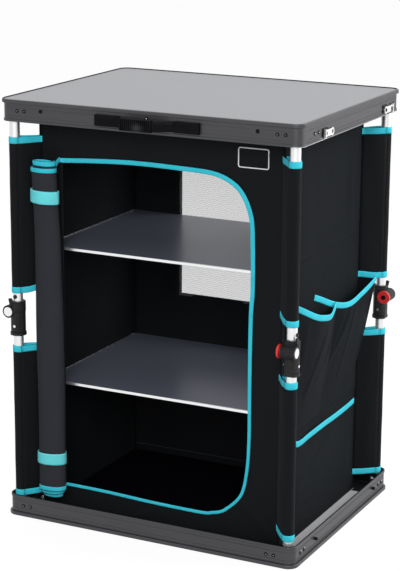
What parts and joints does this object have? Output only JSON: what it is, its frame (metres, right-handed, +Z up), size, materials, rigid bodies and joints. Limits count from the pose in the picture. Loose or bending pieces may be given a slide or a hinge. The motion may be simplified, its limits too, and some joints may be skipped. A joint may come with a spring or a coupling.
{
  "type": "folding camping cupboard",
  "caption": "Folding camping cupboard: a fabric cabinet with shelves between two shallow trays on folding knuckled legs, with a roll-up door, side pockets and a carrying handle.",
  "frame": {"origin": "centre of the underside of the bottom tray, on the ground", "axes": "+X to the right of someone facing the door, -Y out of the door side, +Z up"},
  "size_m": [0.6084, 0.4947, 0.8],
  "materials": {
    "frame_metal": "satin dark anodised, drawn along its length",
    "laminate": "satin grey laminate with faint mottling",
    "tube_metal": "satin bright drawn tube",
    "bright_steel": "bright pressed steel",
    "black_plastic": "fine-grained moulded",
    "red_plastic": "semi-gloss moulded",
    "black_metal": "black oxide",
    "black_fabric": "coated plain-weave polyester",
    "trim_fabric": "woven binding tape",
    "net_fabric": "open net",
    "shelf_laminate": "dark laminate with a bright edge strip"
  },
  "bodies": {
    "root": {"bottom_frame": "frame_metal", "floor_panel": "laminate", "bottom_brackets": "black_plastic", "bottom_pins": "bright_steel", "bottom_rivets": "tube_metal", "latch_studs": "black_metal", "base_board": "shelf_laminate", "front_panel": "black_fabric", "cabinet_walls": "black_fabric", "corner_flaps": "black_fabric", "mesh_window": "net_fabric", "door_roll": "black_fabric", "door_trim": "trim_fabric", "side_pockets": "black_fabric"},
    "lower_leg_FL": {"lower_tube_FL": "tube_metal", "lower_knuckle_FL": "black_plastic", "knuckle_pin_FL": "bright_steel", "lower_sleeve_FL": "black_fabric"},
    "upper_leg_FL": {"upper_tube_FL": "tube_metal", "upper_knuckle_FL": "black_plastic", "upper_sleeve_FL": "black_fabric"},
    "button_FL": {"release_button_FL": "red_plastic"},
    "lower_leg_FR": {"lower_tube_FR": "tube_metal", "lower_knuckle_FR": "black_plastic", "knuckle_pin_FR": "bright_steel", "lower_sleeve_FR": "black_fabric"},
    "upper_leg_FR": {"upper_tube_FR": "tube_metal", "upper_knuckle_FR": "black_plastic", "upper_sleeve_FR": "black_fabric"},
    "button_FR": {"release_button_FR": "red_plastic"},
    "lower_leg_BR": {"lower_tube_BR": "tube_metal", "lower_knuckle_BR": "black_plastic", "knuckle_pin_BR": "bright_steel", "lower_sleeve_BR": "black_fabric"},
    "upper_leg_BR": {"upper_tube_BR": "tube_metal", "upper_knuckle_BR": "black_plastic", "upper_sleeve_BR": "black_fabric"},
    "button_BR": {"release_button_BR": "red_plastic"},
    "lower_leg_BL": {"lower_tube_BL": "tube_metal", "lower_knuckle_BL": "black_plastic", "knuckle_pin_BL": "bright_steel", "lower_sleeve_BL": "black_fabric"},
    "upper_leg_BL": {"upper_tube_BL": "tube_metal", "upper_knuckle_BL": "black_plastic", "upper_sleeve_BL": "black_fabric"},
    "button_BL": {"release_button_BL": "red_plastic"},
    "top_tray": {"top_frame": "frame_metal", "table_top": "laminate", "top_brackets": "black_plastic", "top_pins": "bright_steel", "top_rivets": "tube_metal", "front_studs": "black_metal", "handle_mounts": "black_plastic", "handle_strap": "black_plastic", "hasp_plates": "black_metal"},
    "grip": {"handle_grip": "black_plastic"},
    "front_hasp": {"front_hasp": "bright_steel"},
    "rear_hasp": {"rear_hasp": "bright_steel"},
    "upper_shelf": {"upper_shelf": "shelf_laminate"},
    "lower_shelf": {"lower_shelf": "shelf_laminate"}
  },
  "joints": [
    {"name": "fold", "type": "hinge", "parent": "root", "child": "lower_leg_FL", "pos_m": [-0.2785, -0.2135, 0.02775], "axis": [0, 1, 0], "range_deg": [0, 90], "deforming": ["front_panel", "cabinet_walls", "corner_flaps", "mesh_window", "door_roll", "door_trim", "side_pockets"]},
    {"name": "knuckle_FL", "type": "hinge", "parent": "lower_leg_FL", "child": "upper_leg_FL", "pos_m": [-0.2915, -0.2135, 0.4], "axis": [0, 1, 0], "range_deg": [-180, 0]},
    {"name": "release_FL", "type": "slide", "parent": "upper_leg_FL", "child": "button_FL", "axis": [0, -1, 0], "range_m": [0, 0.002], "stiffness_N_per_m": 400, "springref_m": -0.001},
    {"name": "foot_FR", "type": "hinge", "parent": "root", "child": "lower_leg_FR", "pos_m": [0.2785, -0.2135, 0.02775], "axis": [-1, 0, 0], "range_deg": [0, 90]},
    {"name": "knuckle_FR", "type": "hinge", "parent": "lower_leg_FR", "child": "upper_leg_FR", "pos_m": [0.2785, -0.2265, 0.4], "axis": [-1, 0, 0], "range_deg": [-180, 0]},
    {"name": "release_FR", "type": "slide", "parent": "upper_leg_FR", "child": "button_FR", "axis": [1, 0, 0], "range_m": [0, 0.002], "stiffness_N_per_m": 400, "springref_m": -0.001},
    {"name": "foot_BR", "type": "hinge", "parent": "root", "child": "lower_leg_BR", "pos_m": [0.2785, 0.2135, 0.02775], "axis": [0, -1, 0], "range_deg": [0, 90]},
    {"name": "knuckle_BR", "type": "hinge", "parent": "lower_leg_BR", "child": "upper_leg_BR", "pos_m": [0.2915, 0.2135, 0.4], "axis": [0, -1, 0], "range_deg": [-180, 0]},
    {"name": "release_BR", "type": "slide", "parent": "upper_leg_BR", "child": "button_BR", "axis": [0, 1, 0], "range_m": [0, 0.002], "stiffness_N_per_m": 400, "springref_m": -0.001},
    {"name": "foot_BL", "type": "hinge", "parent": "root", "child": "lower_leg_BL", "pos_m": [-0.2785, 0.2135, 0.02775], "axis": [1, 0, 0], "range_deg": [0, 90]},
    {"name": "knuckle_BL", "type": "hinge", "parent": "lower_leg_BL", "child": "upper_leg_BL", "pos_m": [-0.2785, 0.2265, 0.4], "axis": [1, 0, 0], "range_deg": [-180, 0]},
    {"name": "release_BL", "type": "slide", "parent": "upper_leg_BL", "child": "button_BL", "axis": [-1, 0, 0], "range_m": [0, 0.002], "stiffness_N_per_m": 400, "springref_m": -0.001},
    {"name": "top_pivot", "type": "hinge", "parent": "upper_leg_FL", "child": "top_tray", "pos_m": [-0.2785, -0.2135, 0.77225], "axis": [0, 1, 0], "range_deg": [0, 90]},
    {"name": "upper_shelf_drop", "type": "slide", "parent": "root", "child": "upper_shelf", "axis": [0, 0, -1], "range_m": [0, 0.49049]},
    {"name": "lower_shelf_drop", "type": "slide", "parent": "root", "child": "lower_shelf", "axis": [0, 0, -1], "range_m": [0, 0.24451]},
    {"name": "handle_pull", "type": "slide", "parent": "top_tray", "child": "grip", "axis": [0, -1, 0], "range_m": [-0.012, 0.004]},
    {"name": "front_hasp_turn", "type": "hinge", "parent": "top_tray", "child": "front_hasp", "pos_m": [0.2995, -0.131, 0.77], "axis": [-1, 0, 0], "range_deg": [0, 90]},
    {"name": "rear_hasp_turn", "type": "hinge", "parent": "top_tray", "child": "rear_hasp", "pos_m": [0.2995, 0.156, 0.77], "axis": [-1, 0, 0], "range_deg": [0, 90]}
  ],
  "couplings": [
    {"joint": "knuckle_FL", "follows": "fold", "ratio": -2},
    {"joint": "foot_FR", "follows": "fold", "ratio": 1},
    {"joint": "knuckle_FR", "follows": "fold", "ratio": -2},
    {"joint": "foot_BR", "follows": "fold", "ratio": 1},
    {"joint": "knuckle_BR", "follows": "fold", "ratio": -2},
    {"joint": "foot_BL", "follows": "fold", "ratio": 1},
    {"joint": "knuckle_BL", "follows": "fold", "ratio": -2},
    {"joint": "top_pivot", "follows": "fold", "ratio": 1},
    {"joint": "upper_shelf_drop", "follows": "fold", "m_per_rad": 0.31194},
    {"joint": "lower_shelf_drop", "follows": "fold", "m_per_rad": 0.15534}
  ]
}
